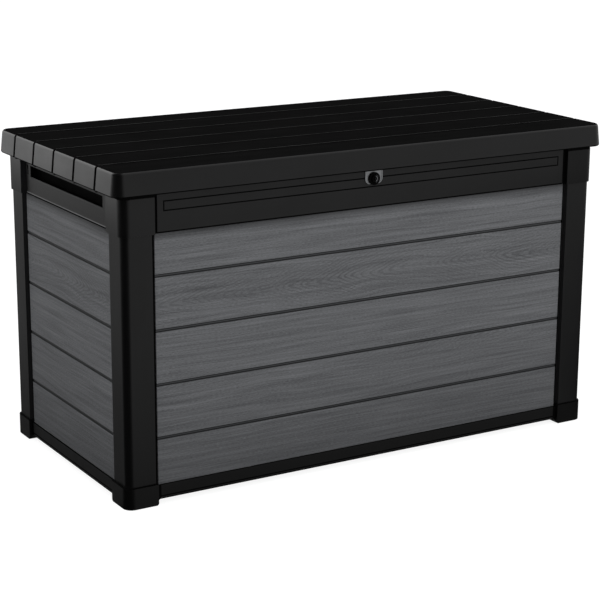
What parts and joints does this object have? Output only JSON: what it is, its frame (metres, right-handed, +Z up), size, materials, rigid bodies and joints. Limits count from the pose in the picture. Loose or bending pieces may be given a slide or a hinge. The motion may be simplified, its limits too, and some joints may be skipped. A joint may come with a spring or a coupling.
{
  "type": "deck storage box",
  "caption": "Outdoor deck storage box: hinged slatted lid with gas struts and a key lock, plank-look wall panels between corner posts, rails and feet, and side handle slots.",
  "frame": {"origin": "on the ground under the middle of the lid", "axes": "+X along the front to the right, -Y faces the front, +Z up"},
  "size_m": [1.448, 0.723, 0.836],
  "materials": {
    "frame_black": "fine moulded texture, satin",
    "base_black": "fine moulded texture, satin",
    "lid_black": "embossed wood grain, satin",
    "inner_black": "smooth moulded",
    "plank_grey": "embossed wood grain with brushed streaks",
    "dark_steel": "powder coated",
    "zinc_steel": "zinc plated",
    "strut_black": "gloss black paint",
    "rod_chrome": "polished",
    "lock_grey": "satin",
    "lock_black": "semi-gloss",
    "lock_metal": "turned"
  },
  "bodies": {
    "case": {"post_front_left": "frame_black", "post_front_right": "frame_black", "post_rear_left": "frame_black", "post_rear_right": "frame_black", "cap_front_left": "frame_black", "cap_front_right": "frame_black", "cap_rear_left": "frame_black", "cap_rear_right": "frame_black", "foot_front_left": "base_black", "foot_front_right": "base_black", "foot_rear_left": "base_black", "foot_rear_right": "base_black", "panel_front": "plank_grey", "panel_rear": "plank_grey", "panel_left": "plank_grey", "panel_right": "plank_grey", "rail_front": "frame_black", "rail_rear": "frame_black", "rail_left": "frame_black", "rail_right": "frame_black", "base_rail_front": "base_black", "base_rail_rear": "base_black", "base_rail_left": "base_black", "base_rail_right": "base_black", "floor_left": "inner_black", "floor_right": "inner_black", "floor_beam": "inner_black", "hinge_bracket_left": "dark_steel", "hinge_bracket_middle": "dark_steel", "hinge_bracket_right": "dark_steel", "hinge_pins": "zinc_steel", "hinge_screws_case": "zinc_steel", "strut_bracket_left": "dark_steel", "strut_bracket_right": "dark_steel", "strut_screws_case": "zinc_steel", "lock_plate": "lock_grey", "lock_housing": "lock_black", "lock_nut": "zinc_steel"},
    "lid": {"lid_shell": "lid_black", "lid_liner": "inner_black", "lid_bar_front": "zinc_steel", "lid_bar_rear": "zinc_steel", "hinge_leaf_left": "dark_steel", "hinge_leaf_middle": "dark_steel", "hinge_leaf_right": "dark_steel", "hinge_screws_lid": "zinc_steel", "strut_hanger_left": "dark_steel", "strut_hanger_right": "dark_steel", "strut_screws_lid": "zinc_steel", "lid_strike": "zinc_steel", "strike_screws": "zinc_steel"},
    "strut_cylinder_left": {"strut_cylinder_left": "strut_black"},
    "strut_cylinder_right": {"strut_cylinder_right": "strut_black"},
    "strut_rod_left": {"strut_rod_left": "rod_chrome"},
    "strut_rod_right": {"strut_rod_right": "rod_chrome"},
    "lock": {"lock_barrel": "lock_metal", "lock_cam": "zinc_steel", "lock_cam_screw": "zinc_steel"}
  },
  "joints": [
    {"name": "lid_hinge", "type": "hinge", "parent": "case", "child": "lid", "pos_m": [0, 0.35, 0.768], "axis": [-1, 0, 0], "range_deg": [0, 90]},
    {"name": "strut_rod_left_pivot", "type": "hinge", "parent": "case", "child": "strut_rod_left", "pos_m": [-0.66, 0.22675, 0.53907], "axis": [-1, 0, 0], "range_deg": [0, 45]},
    {"name": "strut_cylinder_left_pivot", "type": "hinge", "parent": "lid", "child": "strut_cylinder_left", "pos_m": [-0.66, 0.09111, 0.792], "axis": [-1, 0, 0], "range_deg": [-45, 0]},
    {"name": "strut_rod_right_pivot", "type": "hinge", "parent": "case", "child": "strut_rod_right", "pos_m": [0.66, 0.22675, 0.53907], "axis": [-1, 0, 0], "range_deg": [0, 45]},
    {"name": "strut_cylinder_right_pivot", "type": "hinge", "parent": "lid", "child": "strut_cylinder_right", "pos_m": [0.66, 0.09111, 0.792], "axis": [-1, 0, 0], "range_deg": [-45, 0]},
    {"name": "lock_turn", "type": "hinge", "parent": "case", "child": "lock", "pos_m": [0, -0.339, 0.7525], "axis": [0, 1, 0], "range_deg": [0, 90]}
  ],
  "couplings": [
    {"joint": "strut_rod_left_pivot", "follows": "lid_hinge", "ratio": 0.5},
    {"joint": "strut_cylinder_left_pivot", "follows": "lid_hinge", "ratio": -0.5},
    {"joint": "strut_rod_right_pivot", "follows": "lid_hinge", "ratio": 0.5},
    {"joint": "strut_cylinder_right_pivot", "follows": "lid_hinge", "ratio": -0.5}
  ]
}
